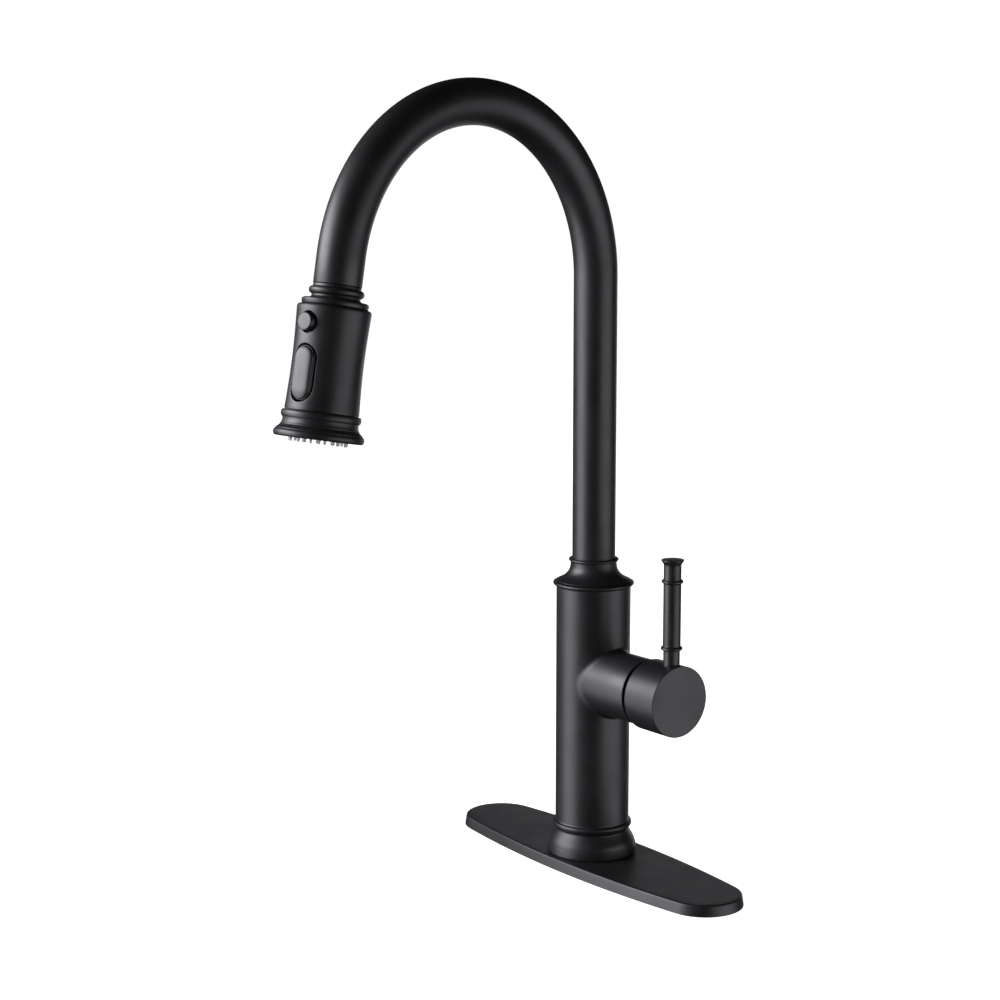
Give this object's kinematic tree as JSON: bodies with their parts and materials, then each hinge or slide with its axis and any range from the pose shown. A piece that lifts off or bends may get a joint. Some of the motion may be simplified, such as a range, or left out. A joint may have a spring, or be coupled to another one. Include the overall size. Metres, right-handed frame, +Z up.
{
  "type": "pull-down kitchen faucet",
  "caption": "Matte black single-handle kitchen faucet: high curved swivel spout, pull-down spray head, side lever and long deck plate.",
  "frame": {"origin": "on the body's upright axis, in the plane where the deck plate's gasket meets the deck", "axes": "+Z up along the body, X along the deck plate with the handle on +X, -Y towards the user, with the spout turned 8 degrees from -Y towards +X"},
  "size_m": [0.243, 0.2718, 0.5389],
  "materials": {
    "aerator": "satin",
    "base_flange": "matte black powder coat",
    "body_shell": "matte black powder coat",
    "cartridge_body": "satin",
    "cartridge_dome": "matte black powder coat",
    "cartridge_nut": "satin",
    "cartridge_rotor": "satin",
    "cartridge_stem": "satin",
    "cold_inlet_fitting": "satin",
    "deck_plate": "matte black powder coat",
    "diverter_core": "satin",
    "dock_sleeve": "satin",
    "face_plate": "satin",
    "flow_plate": "satin",
    "handle_hub": "matte black powder coat",
    "head_collar": "matte black paint over moulded plastic",
    "head_shell": "matte black paint over moulded plastic",
    "head_skirt": "matte black paint over moulded plastic",
    "hose_connector": "satin",
    "hose_free_run": "braided sleeve",
    "hose_washer": "matt",
    "hot_inlet_fitting": "satin",
    "lever_rod": "matte black powder coat",
    "lever_tip": "matte black powder coat",
    "mixed_outlet_fitting": "satin",
    "mounting_nut": "satin",
    "nozzle_pad": "light grey silicone",
    "nut_screw_a": "satin",
    "nut_screw_b": "satin",
    "pause_button": "matte black paint over moulded plastic",
    "plate_gasket": "matt",
    "pull_hose": "braided sleeve",
    "rocker_pin": "satin",
    "rocker_toggle": "matte black paint over moulded plastic",
    "rotor_pin": "satin",
    "rubber_washer": "matt",
    "set_screw": "satin",
    "spout_collar": "matte black powder coat",
    "spout_tube": "matte black powder coat",
    "steel_washer": "satin",
    "swivel_bushing_high": "satin",
    "swivel_bushing_low": "satin",
    "swivel_seal_high": "matt",
    "swivel_seal_low": "matt",
    "threaded_shank": "satin"
  },
  "bodies": {
    "base": {"deck_plate": "deck_plate", "plate_gasket": "plate_gasket", "base_flange": "base_flange", "body_shell": "body_shell", "threaded_shank": "threaded_shank", "rubber_washer": "rubber_washer", "steel_washer": "steel_washer", "mounting_nut": "mounting_nut", "nut_screw_a": "nut_screw_a", "nut_screw_b": "nut_screw_b", "hot_inlet_fitting": "hot_inlet_fitting", "cold_inlet_fitting": "cold_inlet_fitting", "mixed_outlet_fitting": "mixed_outlet_fitting", "swivel_bushing_high": "swivel_bushing_high", "swivel_bushing_low": "swivel_bushing_low", "swivel_seal_high": "swivel_seal_high", "swivel_seal_low": "swivel_seal_low", "cartridge_body": "cartridge_body", "cartridge_nut": "cartridge_nut", "cartridge_dome": "cartridge_dome"},
    "spout": {"spout_tube": "spout_tube", "spout_collar": "spout_collar", "dock_sleeve": "dock_sleeve", "pull_hose": "pull_hose", "hose_free_run": "hose_free_run"},
    "spray_head": {"head_collar": "head_collar", "hose_connector": "hose_connector", "hose_washer": "hose_washer", "head_shell": "head_shell", "diverter_core": "diverter_core", "flow_plate": "flow_plate", "head_skirt": "head_skirt", "nozzle_pad": "nozzle_pad", "face_plate": "face_plate", "aerator": "aerator", "rocker_pin": "rocker_pin"},
    "pause_button": {"pause_button": "pause_button"},
    "rocker": {"rocker_toggle": "rocker_toggle"},
    "rotor": {"cartridge_rotor": "cartridge_rotor", "rotor_pin": "rotor_pin"},
    "handle": {"handle_hub": "handle_hub", "lever_rod": "lever_rod", "lever_tip": "lever_tip", "set_screw": "set_screw", "cartridge_stem": "cartridge_stem"}
  },
  "joints": [
    {"name": "spout_swivel", "type": "hinge", "parent": "base", "child": "spout", "pos_m": [0, 0, 0.16], "axis": [0, 0, 1], "continuous": true},
    {"name": "spray_pull", "type": "slide", "parent": "spout", "child": "spray_head", "axis": [0.0249, -0.1771, -0.9839], "range_m": [0, 0.4], "stiffness_N_per_m": 9, "springref_m": -0.55, "deforming": ["hose_free_run"]},
    {"name": "pause_press", "type": "slide", "parent": "spray_head", "child": "pause_button", "axis": [-0.2566, 0.9501, -0.1775], "range_m": [0, 0.0018], "stiffness_N_per_m": 600, "springref_m": -0.001},
    {"name": "rocker_tilt", "type": "hinge", "parent": "spray_head", "child": "rocker", "pos_m": [0.03358, -0.22531, 0.32073], "axis": [0.9662, 0.2569, -0.0218], "range_deg": [-4, 4]},
    {"name": "handle_temperature", "type": "hinge", "parent": "base", "child": "rotor", "pos_m": [0.042, 0, 0.117], "axis": [1, 0, 0], "range_deg": [-50, 50]},
    {"name": "handle_flow", "type": "hinge", "parent": "rotor", "child": "handle", "pos_m": [0.042, 0, 0.117], "axis": [0, 1, 0], "range_deg": [0, 22]}
  ]
}
